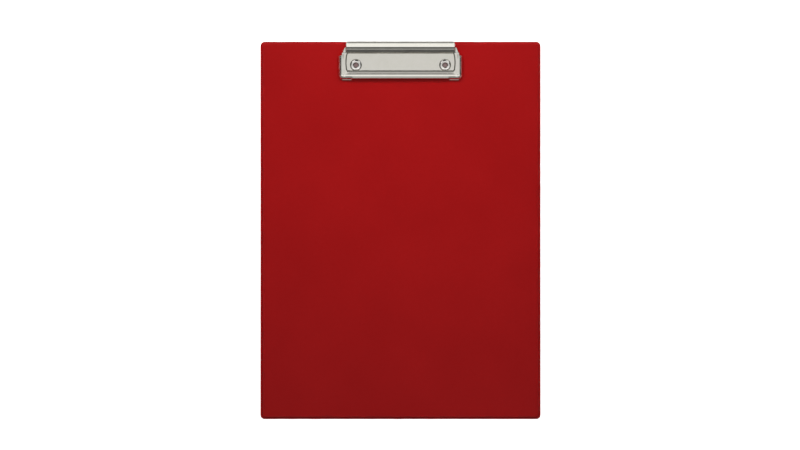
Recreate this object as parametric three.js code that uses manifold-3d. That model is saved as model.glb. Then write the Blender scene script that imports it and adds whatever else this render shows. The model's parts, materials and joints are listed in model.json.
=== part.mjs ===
// A clipboard: a film-covered greyboard with a lever clip on its top edge.
// Millimetres. X runs across the board, +Y towards the clip, +Z out of the writing face.
// The origin is the centre of the board's footprint, on its back face.
import * as THREE from "three";
import { mergeVertices } from "three/addons/utils/BufferGeometryUtils.js";
import Module from "manifold-3d";

const wasm = await Module();
wasm.setup();

// Board
const BOARD_WIDTH = 236;
const BOARD_HEIGHT = 318;
const BOARD_CORNER = 3.5;
const FILM = 0.45; // cover film's thickness
const CORE = 2; // greyboard's thickness
const GLUE = 0.08; // gap between the core and each film
const WELD = 0.06; // gap between the two films in the rim
const RIM_WIDTH = 1.5; // flat welded strip round the edge
const RIM_SLOPE = 0.8; // run of the film from the rim up to the face
const RIM_BEVEL = 0.3; // along both edges of the rim's face
const RIM_BEVEL_FALL = 0.11;
const FACE_BEVEL = 0.45; // along the edge of the face, at the top of the slope
const FACE_BEVEL_FALL = 0.09;
const CORE_INSET = 2.5;

const BOARD_TOP = 2 * (FILM + GLUE) + CORE; // height of the writing face
const EDGE_Y = BOARD_HEIGHT / 2; // the edge that carries the clip

// Clip sheet metal. "down" is a distance from the board's top edge, "up" a height over its face.
const SHEET = 0.8;
const PLATE_GAP = 0.05; // under the base plate
const PLATE_HALF = 46.4; // half its width, a little under the lever's rails
const PLATE_CORNER = 1;
const PLATE_DOWN = [1, 26.2]; // the base plate's two long edges
const NECK_HALF = 45.2; // its narrower end, beside the hinge
const NECK_END_DOWN = 10.5;
const PLATE_TOP = PLATE_GAP + SHEET;
const HINGE_DOWN = 4.2;
const HINGE_UP = 4.2;
const HINGE_HOLE_RADIUS = 1.35;
const ROD_RADIUS = 1.2;
const ROD_HEAD_RADIUS = 1.8;
const ROD_HEAD = 0.5; // its thickness
const ROD_HEAD_BEVEL = 0.25;
const EAR_RADIUS = 2.3; // the base plate's ears, round the rod

// Lever frame, with its places as [down, up]
const WALL_FOOT = [9.4, 4];
const WALL_HEAD = [5.2, 8.7];
const LIP_BEND = [4.2, 10.1];
const LIP_TIP = [1.4, 10.9];
const LIP_HALF = 45;
const TAB_RADIUS = 2.4; // its tabs, just inside the ears
const TAB_HALF = 43.9;
const TAB_REACH = 3.3; // from the hinge line into the wall's sheet
const WINDOW_HALF = 46;
const WINDOW_DOWN = 25.4; // the window's edge at the jaw
const RAIL_TOP = 4;
const RAIL_TOP_WIDTH = 4;
const RAIL_WIDTH = 5.9;
const RAIL_FOLD = 0.8; // how far the top rounds down into the inner wall
const RAIL_INNER_LIFT = 1; // the inner wall's lower edge
const RAIL_START_DOWN = 8.7;
const RAIL_WALL_START_DOWN = 12.4;
const CHANNEL_INNER_CORNER = 0.6;
const CHANNEL_OUTER_CORNER = 3;
const SHOULDER_HALF = 48; // half width at the wall's foot, where the sides flare out
const SHOULDER_START_DOWN = 4.2;
const SHOULDER_PULLS = [[46.2, 5.2], [47.5, 7.4]]; // the flare's two control points, as [x, down]
const NOTCH_PULL = [48.3, 10.1]; // and the one from the flare into the notch
const NOTCH_X = 49.3; // the notch between the shoulder and the rail's outer wall
const NOTCH_DOWN = 10.6;
const NOTCH_LENGTH = 1;
const FOOT_INNER = 40.5;
const FOOT_OUTER = 49;
const FOOT_START_DOWN = 25.6;
const FOOT_LIFT = 0.15; // the feet stay this far off the writing face
const JAW_LIFT = 0.85; // and the rest of the outer wall this far

// Springs
const WIRE = 1;
const COIL_RADIUS = 2.1; // to the wire's centre
const COIL_TURNS = 4;
const COIL_PITCH = 1.12;
const SPRING_X = 30;
const PLATE_LEG = 3.2;
const PLATE_LEG_ANGLE = -102; // degrees round the rod, where each leg leaves the coil
const WALL_LEG = 3.6;
const WALL_LEG_ANGLE = -222;

// Rivets
const SEAT_GAP = 0.04; // between stacked pieces
const RIVET_X = 37.5;
const RIVET_DOWN = 19.9;
const BORE_RADIUS = 1.9;
const TUBE_RADIUS = 2.5;
const HEAD_RADIUS = 5; // the collar stops just short of the jaw
const HEAD_HEIGHT = 1.5;
const CROWN_RADIUS = 3.2; // ring where the collar is highest
const COLLAR_FALL = 1.2; // from the crown to the collar's rim
const BORE_FALL = 1.1; // and from the crown into the bore
const TAIL_RADIUS = 4;
const TAIL_LOW = 0.12; // the tail sits inside the back face
const TAIL_TOP = 0.57;
const TAIL_FLARE = 3; // radius where the rolled tail turns flat
const TAIL_FALL = 0.3; // where the bore starts to flare, over the tail's top
const TAIL_BEVEL = 0.2;
const WASHER = 0.5;
const WASHER_RADIUS = 5.5;
const WASHER_HOLE = 2.8;
const RECESS_RADIUS = 5.8; // round the washer, in the back of the board
const RECESS_DEPTH = 1.25;
const RUNNING_GAP = 0.3; // round a rivet's tube

const CLEAR = 5; // how far a cutter runs past what it cuts
const CLEAR_X = 60;

// Places a point given from the board's top edge and writing face in the Y, Z plane.
function at(down, up) {
  return new THREE.Vector2(EDGE_Y - down, BOARD_TOP + up);
}

function toSolid(geometry) {
  const bare = geometry.clone();
  bare.deleteAttribute("normal");
  bare.deleteAttribute("uv");
  const merged = mergeVertices(bare, 1e-4);
  return new wasm.Manifold(
    new wasm.Mesh({
      numProp: 3,
      vertProperties: merged.attributes.position.array,
      triVerts: new Uint32Array(merged.index.array),
    }),
  );
}

function toMesh(name, solid, material) {
  const { vertProperties, triVerts } = solid.getMesh();
  const geometry = new THREE.BufferGeometry();
  geometry.setAttribute("position", new THREE.BufferAttribute(vertProperties, 3));
  geometry.setIndex(new THREE.BufferAttribute(triVerts, 1));
  geometry.computeVertexNormals();
  const mesh = new THREE.Mesh(geometry, material);
  mesh.name = name;
  return mesh;
}

// A flat shape drawn in X, Y and raised along Z.
function upright(shape, low, high, curveSegments = 12) {
  const depth = high - low;
  const geometry = new THREE.ExtrudeGeometry(shape, { depth, bevelEnabled: false, curveSegments });
  return toSolid(geometry.translate(0, 0, low));
}

// A flat shape drawn in Y, Z and drawn out along X.
function sideways(shape, left, right, curveSegments = 12) {
  const depth = right - left;
  const geometry = new THREE.ExtrudeGeometry(shape, { depth, bevelEnabled: false, curveSegments });
  const turn = new THREE.Matrix4().makeBasis(
    new THREE.Vector3(0, 1, 0),
    new THREE.Vector3(0, 0, 1),
    new THREE.Vector3(1, 0, 0),
  );
  return toSolid(geometry.applyMatrix4(turn).translate(left, 0, 0));
}

function box(low, high) {
  const size = high.map((value, axis) => value - low[axis]);
  const centre = high.map((value, axis) => (value + low[axis]) / 2);
  return toSolid(new THREE.BoxGeometry(...size).translate(...centre));
}

// A round bar standing on Z.
function disc(x, y, radius, low, high, sides = 32) {
  const geometry = new THREE.CylinderGeometry(radius, radius, high - low, sides);
  return toSolid(geometry.rotateX(Math.PI / 2).translate(x, y, (low + high) / 2));
}

// A turned piece on Z, from a closed profile of [radius, height] points.
function turned(profile, x, y, sides) {
  const points = [...profile, profile[0]].map(([radius, height]) => new THREE.Vector2(radius, height));
  return toSolid(new THREE.LatheGeometry(points, sides).rotateX(Math.PI / 2).translate(x, y, 0));
}

// Joins equal rings of points into one closed skin. The caps use the first ring's flat outline.
function loft(rings, outline) {
  const count = outline.length;
  const index = [];
  for (let ring = 0; ring + 1 < rings.length; ring++) {
    for (let i = 0; i < count; i++) {
      const a = ring * count + i;
      const b = ring * count + ((i + 1) % count);
      index.push(a, b, b + count, a, b + count, a + count);
    }
  }
  const last = (rings.length - 1) * count;
  for (const [a, b, c] of THREE.ShapeUtils.triangulateShape(outline, [])) {
    index.push(c, b, a, last + a, last + b, last + c);
  }
  const geometry = new THREE.BufferGeometry().setFromPoints(rings.flat());
  geometry.setIndex(index);
  return toSolid(geometry);
}

// Points of a rounded rectangle about the origin, anticlockwise.
function roundedRectangle(halfX, halfY, radius, steps = 5) {
  const points = [];
  for (let corner = 0; corner < 4; corner++) {
    const sideX = corner === 0 || corner === 3 ? 1 : -1;
    const sideY = corner < 2 ? 1 : -1;
    for (let step = 0; step <= steps; step++) {
      const angle = (corner + step / steps) * (Math.PI / 2);
      const x = sideX * (halfX - radius) + radius * Math.cos(angle);
      const y = sideY * (halfY - radius) + radius * Math.sin(angle);
      points.push(new THREE.Vector2(x, y));
    }
  }
  return points;
}

// The closed outline of a bent sheet, from the points along one of its faces.
function sheetOutline(face, thickness) {
  const ways = face.slice(1).map((point, i) => point.clone().sub(face[i]).normalize());
  const back = face.map((point, i) => {
    const before = ways[Math.max(i - 1, 0)];
    const after = ways[Math.min(i, ways.length - 1)];
    const reach = thickness / (1 + before.dot(after));
    return new THREE.Vector2(
      point.x + (before.y + after.y) * reach,
      point.y - (before.x + after.x) * reach,
    );
  });
  return [...face, ...back.reverse()];
}

// ---- Board ----

// One film as a shallow tray: a flat face that steps down to a thin rim.
// side is +1 for the front film and -1 for the back one.
function coverFilm(side) {
  const middle = BOARD_TOP / 2;
  const rimInner = WELD / 2;
  const faceInner = CORE / 2 + GLUE;
  const steps = [
    [RIM_WIDTH + RIM_SLOPE, faceInner],
    [RIM_WIDTH, rimInner],
    [0, rimInner],
    [0, rimInner + FILM - RIM_BEVEL_FALL],
    [RIM_BEVEL, rimInner + FILM],
    [RIM_WIDTH - RIM_BEVEL, rimInner + FILM],
    [RIM_WIDTH + RIM_SLOPE - FACE_BEVEL, faceInner + FILM - FACE_BEVEL_FALL],
    [RIM_WIDTH + RIM_SLOPE, faceInner + FILM],
  ];
  const ringAt = ([inset, height]) =>
    roundedRectangle(
      BOARD_WIDTH / 2 - inset,
      BOARD_HEIGHT / 2 - inset,
      Math.max(BOARD_CORNER - inset, 1),
    ).map((point) => new THREE.Vector3(point.x, point.y, middle + side * height));
  const rings = steps.map(ringAt);
  if (side < 0) rings.reverse();
  return loft(rings, rings[0].map((point) => new THREE.Vector2(point.x, point.y)));
}

function rivetPlaces() {
  return [-RIVET_X, RIVET_X].map((x) => [x, EDGE_Y - RIVET_DOWN]);
}

function drill(solid, radius, low, high) {
  return rivetPlaces().reduce(
    (drilled, [x, y]) => drilled.subtract(disc(x, y, radius, low, high)),
    solid,
  );
}

function frontCover() {
  return drill(coverFilm(1), TUBE_RADIUS + RUNNING_GAP, 0, BOARD_TOP + CLEAR);
}

function backCover() {
  return drill(coverFilm(-1), RECESS_RADIUS, -CLEAR, BOARD_TOP / 2);
}

function boardCore() {
  const outline = roundedRectangle(
    BOARD_WIDTH / 2 - CORE_INSET,
    BOARD_HEIGHT / 2 - CORE_INSET,
    BOARD_CORNER - RIM_WIDTH,
  );
  const low = FILM + GLUE;
  const sheet = upright(new THREE.Shape(outline), low, low + CORE);
  const drilled = drill(sheet, TUBE_RADIUS + RUNNING_GAP, 0, BOARD_TOP);
  return drill(drilled, RECESS_RADIUS, 0, RECESS_DEPTH);
}

// ---- Clip ----

// A tongue of sheet metal with a round end about the hinge line, drilled for the rod.
// It reaches the given distance from the hinge at the given angle in the Y, Z plane.
function hingeTongue(radius, angle, reach, outerX) {
  const hinge = at(HINGE_DOWN, HINGE_UP);
  const along = new THREE.Vector2(Math.cos(angle), Math.sin(angle)).multiplyScalar(reach);
  const across = new THREE.Vector2(-Math.sin(angle), Math.cos(angle)).multiplyScalar(radius);
  const start = hinge.clone().add(along).add(across);
  const shoulder = hinge.clone().add(across);
  const end = hinge.clone().add(along).sub(across);
  const shape = new THREE.Shape();
  shape.moveTo(start.x, start.y);
  shape.lineTo(shoulder.x, shoulder.y);
  shape.absarc(hinge.x, hinge.y, radius, angle + Math.PI / 2, angle + Math.PI * 1.5, false);
  shape.lineTo(end.x, end.y);
  const hole = new THREE.Path();
  hole.absarc(hinge.x, hinge.y, HINGE_HOLE_RADIUS, 0, Math.PI * 2, true);
  shape.holes.push(hole);
  return sideways(shape, outerX - SHEET, outerX, 9);
}

function bothSides(right) {
  return right.add(right.mirror([1, 0, 0]));
}

// A flat rectangle of the base plate's sheet between two distances down the board.
function plateSheet(half, near, far) {
  const outline = roundedRectangle(half, (far - near) / 2, PLATE_CORNER, 3);
  const low = BOARD_TOP + PLATE_GAP;
  const flat = upright(new THREE.Shape(outline), low, low + SHEET);
  return flat.translate([0, EDGE_Y - (near + far) / 2, 0]);
}

function basePlate() {
  const [near, far] = PLATE_DOWN;
  const neck = plateSheet(NECK_HALF, near, NECK_END_DOWN + 2 * PLATE_CORNER);
  const flat = neck.add(plateSheet(PLATE_HALF, NECK_END_DOWN, far));
  const drilled = drill(flat, TUBE_RADIUS + RUNNING_GAP, BOARD_TOP - CLEAR, BOARD_TOP + CLEAR);
  const ear = hingeTongue(EAR_RADIUS, -Math.PI / 2, HINGE_UP - PLATE_TOP + SHEET / 2, NECK_HALF);
  return drilled.add(bothSides(ear));
}

// The finger lip and the steep wall under it, as one bent strip across the board.
function leverStrip() {
  const [foot, head, bend, tip] = [WALL_FOOT, WALL_HEAD, LIP_BEND, LIP_TIP].map((place) => at(...place));
  const path = new THREE.Path();
  path.moveTo(foot.x, foot.y);
  path.lineTo(head.x, head.y);
  path.quadraticCurveTo(bend.x, bend.y, tip.x, tip.y);
  const outline = sheetOutline(path.getPoints(5), SHEET);
  const half = WINDOW_HALF + RAIL_TOP_WIDTH;
  return sideways(new THREE.Shape(outline), -half, half);
}

// Section of the stamped channel that runs down both sides and along the jaw, as points
// of [distance out from the window, height over the board].
function channelOutline() {
  const face = [
    [0, RAIL_INNER_LIFT],
    [0, RAIL_TOP - RAIL_FOLD],
    [RAIL_FOLD * 0.3, RAIL_TOP - RAIL_FOLD * 0.3],
    [RAIL_FOLD, RAIL_TOP],
    [RAIL_TOP_WIDTH - RAIL_FOLD, RAIL_TOP],
    [RAIL_TOP_WIDTH, RAIL_TOP - RAIL_FOLD / 2],
    [RAIL_WIDTH, FOOT_LIFT],
  ];
  const outline = sheetOutline(face.map(([out, up]) => new THREE.Vector2(out, up)), SHEET);
  // The outer wall's lower edge is trimmed level with the board.
  for (const point of outline) point.y = Math.max(point.y, FOOT_LIFT);
  return THREE.ShapeUtils.isClockWise(outline) ? outline.reverse() : outline;
}

// Carries the channel's section down the right side, along the jaw and up the left side.
function channel() {
  const outline = channelOutline();
  // Each line of the section turns the corner with its own radius, so the inner corner stays tight.
  const cornerStation = (side, turn) =>
    outline.map(({ x: out, y: up }) => {
      const radius = Math.max(CHANNEL_INNER_CORNER, out - RAIL_WIDTH + CHANNEL_OUTER_CORNER);
      const x = WINDOW_HALF + out - radius * (1 - Math.cos(turn));
      const down = WINDOW_DOWN + out - radius * (1 - Math.sin(turn));
      return new THREE.Vector3(side * x, EDGE_Y - down, BOARD_TOP + up);
    });
  const endStation = (side) =>
    outline.map(
      ({ x: out, y: up }) =>
        new THREE.Vector3(side * (WINDOW_HALF + out), EDGE_Y - RAIL_START_DOWN, BOARD_TOP + up),
    );
  const steps = 6;
  const turns = Array.from({ length: steps + 1 }, (_, step) => (step / steps) * (Math.PI / 2));
  const right = turns.map((turn) => cornerStation(1, turn));
  const left = turns.map((turn) => cornerStation(-1, turn)).reverse();
  return loft([endStation(1), ...right, ...left, endStation(-1)], outline);
}

// What is cut away beside the lip and the wall, down to the start of the rail's outer wall.
function shoulderCut() {
  const y = (down) => EDGE_Y - down;
  const shape = new THREE.Shape();
  shape.moveTo(CLEAR_X, y(-CLEAR));
  shape.lineTo(LIP_HALF, y(-CLEAR));
  shape.lineTo(LIP_HALF, y(SHOULDER_START_DOWN));
  const [first, second] = SHOULDER_PULLS;
  shape.bezierCurveTo(first[0], y(first[1]), second[0], y(second[1]), SHOULDER_HALF, y(WALL_FOOT[0]));
  shape.quadraticCurveTo(NOTCH_PULL[0], y(NOTCH_PULL[1]), NOTCH_X, y(NOTCH_DOWN));
  shape.lineTo(NOTCH_X, y(NOTCH_DOWN + NOTCH_LENGTH));
  shape.lineTo(CLEAR_X, y(RAIL_WALL_START_DOWN));
  return upright(shape, BOARD_TOP - CLEAR, BOARD_TOP + LIP_TIP[1] + CLEAR, 6);
}

// Lifts the channel's outer wall off the board along the jaw, between the two feet.
function jawRelief() {
  return box(
    [-FOOT_INNER, EDGE_Y - WINDOW_DOWN - RAIL_WIDTH - CLEAR, BOARD_TOP - CLEAR],
    [FOOT_INNER, EDGE_Y - WINDOW_DOWN, BOARD_TOP + JAW_LIFT],
  );
}

// The same beside each side rail, above the foot.
function sideRelief() {
  return box(
    [FOOT_OUTER, EDGE_Y - FOOT_START_DOWN, BOARD_TOP - CLEAR],
    [CLEAR_X, EDGE_Y, BOARD_TOP + JAW_LIFT],
  );
}

function leverFrame() {
  const [footDown, footUp] = WALL_FOOT;
  const [headDown, headUp] = WALL_HEAD;
  const lean = Math.atan2(headUp - footUp, footDown - headDown);
  const tab = hingeTongue(TAB_RADIUS, lean + Math.PI / 2, TAB_REACH, TAB_HALF);
  return leverStrip()
    .add(channel())
    .subtract(bothSides(shoulderCut()))
    .subtract(jawRelief())
    .subtract(bothSides(sideRelief()))
    .add(bothSides(tab));
}

function hingeRod() {
  const inner = NECK_HALF + SEAT_GAP;
  const outer = inner + ROD_HEAD;
  const half = [
    [ROD_RADIUS, inner],
    [ROD_HEAD_RADIUS, inner],
    [ROD_HEAD_RADIUS, outer - ROD_HEAD_BEVEL],
    [ROD_HEAD_RADIUS - 2 * ROD_HEAD_BEVEL, outer],
    [0, outer],
  ];
  const otherHalf = half.map(([radius, x]) => [radius, -x]).reverse();
  const profile = [...otherHalf, ...half].map(([radius, x]) => new THREE.Vector2(radius, x));
  const hinge = at(HINGE_DOWN, HINGE_UP);
  return toSolid(new THREE.LatheGeometry(profile, 20).rotateZ(-Math.PI / 2).translate(0, hinge.x, hinge.y));
}

// A torsion spring on the rod. One leg bears on the base plate and the other on the back of the wall.
function spring(side) {
  const hinge = at(HINGE_DOWN, HINGE_UP);
  const turns = COIL_TURNS + (PLATE_LEG_ANGLE - WALL_LEG_ANGLE) / 360;
  const startX = SPRING_X - (turns * COIL_PITCH) / 2;
  const place = (turn, along) => {
    const angle = THREE.MathUtils.degToRad(PLATE_LEG_ANGLE - turn * 360);
    return new THREE.Vector3(
      side * (startX + turn * COIL_PITCH),
      hinge.x + COIL_RADIUS * Math.cos(angle) + along * Math.sin(angle),
      hinge.y + COIL_RADIUS * Math.sin(angle) - along * Math.cos(angle),
    );
  };
  const stepsPerTurn = 12;
  const coilSteps = Math.round(turns * stepsPerTurn);
  const coil = Array.from({ length: coilSteps + 1 }, (_, step) => place((step / coilSteps) * turns, 0));
  const route = [
    place(0, -PLATE_LEG),
    place(0, -PLATE_LEG / 2),
    ...coil,
    place(turns, WALL_LEG / 2),
    place(turns, WALL_LEG),
  ];
  const section = new THREE.Shape().absarc(0, 0, WIRE / 2, 0, Math.PI * 2, false);
  const geometry = new THREE.ExtrudeGeometry(section, {
    extrudePath: new THREE.CatmullRomCurve3(route),
    steps: coilSteps + 8,
    curveSegments: 4,
    bevelEnabled: false,
  });
  return toSolid(geometry);
}

// ---- Rivets ----

// A quarter of an ellipse from angle 0 to 90 degrees, as [radius, height] points.
function quarter(centreRadius, centreHeight, reach, rise, steps = 4) {
  return Array.from({ length: steps + 1 }, (_, step) => {
    const angle = (step / steps) * (Math.PI / 2);
    return [centreRadius + reach * Math.cos(angle), centreHeight + rise * Math.sin(angle)];
  });
}

// A tubular rivet: a domed collar with an open bore, and a tail rolled out over its washer.
function rivet(side) {
  const seat = BOARD_TOP + PLATE_TOP + SEAT_GAP;
  const crown = seat + HEAD_HEIGHT;
  const profile = [
    [TUBE_RADIUS, TAIL_TOP],
    [TUBE_RADIUS, seat],
    [HEAD_RADIUS, seat],
    ...quarter(CROWN_RADIUS, crown - COLLAR_FALL, HEAD_RADIUS - CROWN_RADIUS, COLLAR_FALL),
    ...quarter(CROWN_RADIUS, crown - BORE_FALL, BORE_RADIUS - CROWN_RADIUS, BORE_FALL).reverse().slice(1),
    ...quarter(TAIL_FLARE, TAIL_TOP + TAIL_FALL, BORE_RADIUS - TAIL_FLARE, TAIL_LOW - TAIL_TOP - TAIL_FALL),
    [TAIL_RADIUS - TAIL_BEVEL, TAIL_LOW],
    [TAIL_RADIUS, TAIL_LOW + TAIL_BEVEL],
    [TAIL_RADIUS, TAIL_TOP],
  ];
  return turned(profile, side * RIVET_X, EDGE_Y - RIVET_DOWN, 30);
}

function rivetWasher(side) {
  const low = TAIL_TOP + SEAT_GAP;
  const high = low + WASHER;
  const profile = [
    [WASHER_HOLE, low],
    [WASHER_RADIUS, low],
    [WASHER_RADIUS, high],
    [WASHER_HOLE, high],
  ];
  return turned(profile, side * RIVET_X, EDGE_Y - RIVET_DOWN, 30);
}

// ---- Materials and assembly ----

function finish(color, roughness, metalness) {
  return new THREE.MeshStandardMaterial({ color, roughness, metalness });
}

const redFilm = () => finish(0x9e1c1e, 0.5, 0);
const greyboard = () => finish(0x8f8677, 0.95, 0);
const nickel = () => finish(0xd8d5cc, 0.22, 1);
const brightNickel = () => finish(0xddd7cf, 0.15, 1);
const rodSteel = () => finish(0xb9b6b0, 0.3, 1);
const springSteel = () => finish(0x8c8b88, 0.35, 1);

const board = new THREE.Group();
board.add(
  toMesh("front_cover", frontCover(), redFilm()),
  toMesh("back_cover", backCover(), redFilm()),
  toMesh("board_core", boardCore(), greyboard()),
);

const clip = new THREE.Group();
clip.add(
  toMesh("clip_base_plate", basePlate(), nickel()),
  toMesh("lever_frame", leverFrame(), nickel()),
  toMesh("hinge_rod", hingeRod(), rodSteel()),
);
for (const [hand, side] of [["left", -1], ["right", 1]]) {
  clip.add(
    toMesh(`spring_${hand}`, spring(side), springSteel()),
    toMesh(`rivet_${hand}`, rivet(side), brightNickel()),
    toMesh(`rivet_washer_${hand}`, rivetWasher(side), brightNickel()),
  );
}

const clipboard = new THREE.Group();
clipboard.add(board, clip);

export default clipboard;
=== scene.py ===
import json
import math

import bmesh
import bpy
import numpy as np
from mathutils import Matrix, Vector, noise


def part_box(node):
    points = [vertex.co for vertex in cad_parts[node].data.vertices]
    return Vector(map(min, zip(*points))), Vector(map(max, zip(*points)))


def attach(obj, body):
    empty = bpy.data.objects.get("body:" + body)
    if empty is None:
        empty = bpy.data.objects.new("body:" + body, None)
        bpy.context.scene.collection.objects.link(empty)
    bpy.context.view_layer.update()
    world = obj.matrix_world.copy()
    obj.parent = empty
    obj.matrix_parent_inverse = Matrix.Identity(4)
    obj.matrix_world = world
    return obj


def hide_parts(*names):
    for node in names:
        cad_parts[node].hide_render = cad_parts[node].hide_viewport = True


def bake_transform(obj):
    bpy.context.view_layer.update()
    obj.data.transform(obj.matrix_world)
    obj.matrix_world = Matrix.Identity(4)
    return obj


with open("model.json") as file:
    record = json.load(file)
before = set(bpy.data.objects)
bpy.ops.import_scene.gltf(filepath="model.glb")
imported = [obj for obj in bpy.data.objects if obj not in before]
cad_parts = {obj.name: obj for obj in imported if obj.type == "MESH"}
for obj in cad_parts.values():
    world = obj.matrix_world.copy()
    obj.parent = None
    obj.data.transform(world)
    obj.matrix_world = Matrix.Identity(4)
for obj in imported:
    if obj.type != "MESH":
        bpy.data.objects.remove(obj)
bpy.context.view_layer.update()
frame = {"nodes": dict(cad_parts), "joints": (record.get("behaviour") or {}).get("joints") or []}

MM = 0.001
UP = Vector((0, 0, 1))

# ---- Places that come from the frame ----


def box_mm(node):
    low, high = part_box(node)
    return np.array(low) / MM, np.array(high) / MM


_, BOARD_HIGH = box_mm("front_cover")
BOARD_HALF = BOARD_HIGH[:2]
EDGE_Y = BOARD_HIGH[1]
BOARD_TOP = BOARD_HIGH[2]
_, LEVER_HIGH = box_mm("lever_frame")
PLATE_LOW, PLATE_HIGH = box_mm("clip_base_plate")
ROD_LOW, ROD_HIGH = box_mm("hinge_rod")
HINGE = next(joint for joint in frame["joints"] if joint["name"] == "lever_hinge")
HINGE_DOWN = EDGE_Y - HINGE["pos_m"][1] / MM
HINGE_UP = HINGE["pos_m"][2] / MM - BOARD_TOP

# ---- Board ----
FILM = 0.45
BOARD_CORNER = 3.5
RIM_WIDTH = 1.35
RIM_SLOPE = 1.0
RIM_GAP = 0.03  # from the board's middle plane to each film in the welded rim
FACE_GAP = 1.08  # and from the middle plane to each film's inner face
RIM_STEPS = (110, 150)  # along the board's short and long sides
RIPPLE = 0.09  # the weld pulls the rim in by up to twice this
RIPPLE_PULL_SIZE = 6.5
RIPPLE_LIFT_SIZE = 9
RIPPLE_START = 0.4
LEAST_CORNER = 0.8
HOLE_RADIUS = 2.8  # in the front film, round a rivet
HOLE_BEVEL = 0.15
RECESS_RADIUS = 5.8  # in the back film, round a washer

# ---- Clip ----
SHEET = 0.8
EDGE_ROUND = 0.2  # the sheet's edges are deburred
PLATE_TOP = 0.85
PLATE_CORNER = 1.2
NECK_HALF = 45.2  # the plate is narrower beside the hinge
NECK_END_DOWN = 10.5
NECK_CORNER = 0.6
NECK_FILLET = 0.4
EAR_RADIUS = 2.3
EAR_BEND = 1.0
EAR_SINK = 0.03  # the ear's foot lies this far inside the plate's two faces
EAR_FOOT = 2.2
ROD_HOLE = 1.35
TAB_RADIUS = 2.4
TAB_HALF = 43.9
TAB_REACH = 3.3

LIP_HALF = 45
SHOULDER_HALF = 48.1
ROLL_RADIUS = 0.9
TIP = (1.6, LEVER_HIGH[2] - BOARD_TOP - 0.5)  # where the lip's line meets its rolled edge
BEND = (5.6, 8.5)  # where the lip's line meets the wall's
BEAD = [(6.9, 7.3), (7.5, 6.85)]  # the wall is a little flatter between these
FOOT = (9.75, 4.8)
WALL_END = (9.85, 4.7)  # its lower edge, in the window
LEDGE_END_DOWN = 10.05  # where the rails' channel takes over from the ledge
LEDGE_DOWN = 4.4  # the flat ledge beside the wall starts here
LEDGE_START_HALF = 45.5
RAIL_TOP = 4.0
WINDOW_HALF = 45.2  # at its four corners
WINDOW_BOW = 0.9  # how much wider it is half way down
WINDOW_DOWN = 25.4
RAIL_HALF = 46.0  # the rails' own line, which the corners stand in from
FLANGE_UP = 1.0  # the window's flange stops here
FOLD_RADIUS = 0.4
TOP_WIDTH = 3.0
RAIL_WIDTH = LEVER_HIGH[0] - RAIL_HALF
OUTER_CORNER = 3.0
INNER_CORNER = 0.7
NOTCH_DOWN = 10.8
OUTER_WALL_DOWN = 12.4
ROLL_END = (0.1, 1.25)  # where the lip's rolled edge stops, in from the tip and below it
ROLL_ROOM = 1.2  # the side of the wall starts this far below the tip
LIP_FLARE = 0.8  # the lip widens to the wall over this length
SIDE_FALL = 0.9  # the wall's side drops to the ledge over this width
FOLD_START = (-0.4, 2.2)  # the window's flange grows between these, from the ledge's end
BOW_POWER = 0.8  # under 1 makes the window's bow fuller at its ends
CORNER_BLEND = 1.3  # the rail's outer wall turns into the corner's over this length
JAW_BLEND = 3.5  # and the corner's into the jaw's over this one
JAW_STEP = 0.4

# The jaw's top slopes down to the window between BAND_END and BAND_START, with a fine groove in the slope.
BAND_START = 0.7
BAND_END = 3.0
BAND_DROP = 0.22
GROOVE_OUT = 1.95
GROOVE_WIDTH = 0.16
GROOVE_DEPTH = 0.05

# A short curved fold at each lower corner, and a straight one beside each shoulder.
CREASE_X = 46.4
CREASE_OUT = 2.2
CREASE_RADIUS = 1.55
CREASE_WIDTH = 0.3
CREASE_DEPTH = 0.3
CREASE_FADE = 0.3
CREASE_FALL = (1.5, 0.5)  # on the outer wall it fades out between these depths under the top
SHOULDER_CREASE_X = 48.2
SHOULDER_CREASE_WIDTH = 0.28
SHOULDER_CREASE_DEPTH = 0.18
SHOULDER_CREASE_START = (10.2, 11.4)
SHOULDER_CREASE_END = (13, 15.5)

# How finely the lever's skin is divided.
WALL_COLUMNS = 31
TOP_COLUMNS = 16
OUTER_COUNT = 20
CORNER_STEPS = 16
JAW_END = WINDOW_HALF - INNER_CORNER
JAW_FINE_END = 34.0  # the jaw has closer stations outside this
FOOT_FADE = (36.8, 37.6)  # the feet end between these, counted along the window's edge

# Outer fold and wall of the channel: corners as (out, up, radius).
WALL_OUT = RAIL_WIDTH - 0.05
RAIL_OUTER = [(TOP_WIDTH, 4.0, 0), (3.75, 4.0, 1.4), (5.5, 2.0, 0.4), (WALL_OUT, 0.85, 0)]
JAW_OUTER = [(TOP_WIDTH, 4.0, 0), (3.55, 4.0, 0.4), (5.4, 2.65, 0.5), (WALL_OUT, 0.85, 0)]
FOOT_OUTER = [(TOP_WIDTH, 4.0, 0), (3.55, 4.0, 0.4), (5.2, 2.65, 0.6), (6.0, 0.9, 0.5), (6.7, 0.4, 0)]
CORNER_OUTER = [(TOP_WIDTH, 4.0, 0), (3.75, 4.0, 1.4), (5.5, 2.0, 0.4), (WALL_OUT, 0.15, 0)]

# ---- Rod and springs ----
ROD_RADIUS = 1.2
ROD_HEAD = 0.5  # thickness of a peened head
WIRE = 1.0
WIRE_BEVEL = 0.12
COIL_RADIUS = 2.1
COIL_PITCH = 1.12
PLATE_LEG = 3.2
PLATE_LEG_ANGLE = -102
WALL_LEG = 3.6
WALL_LEG_ANGLE = -222
TURNS = 4 + (PLATE_LEG_ANGLE - WALL_LEG_ANGLE) / 360

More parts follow.
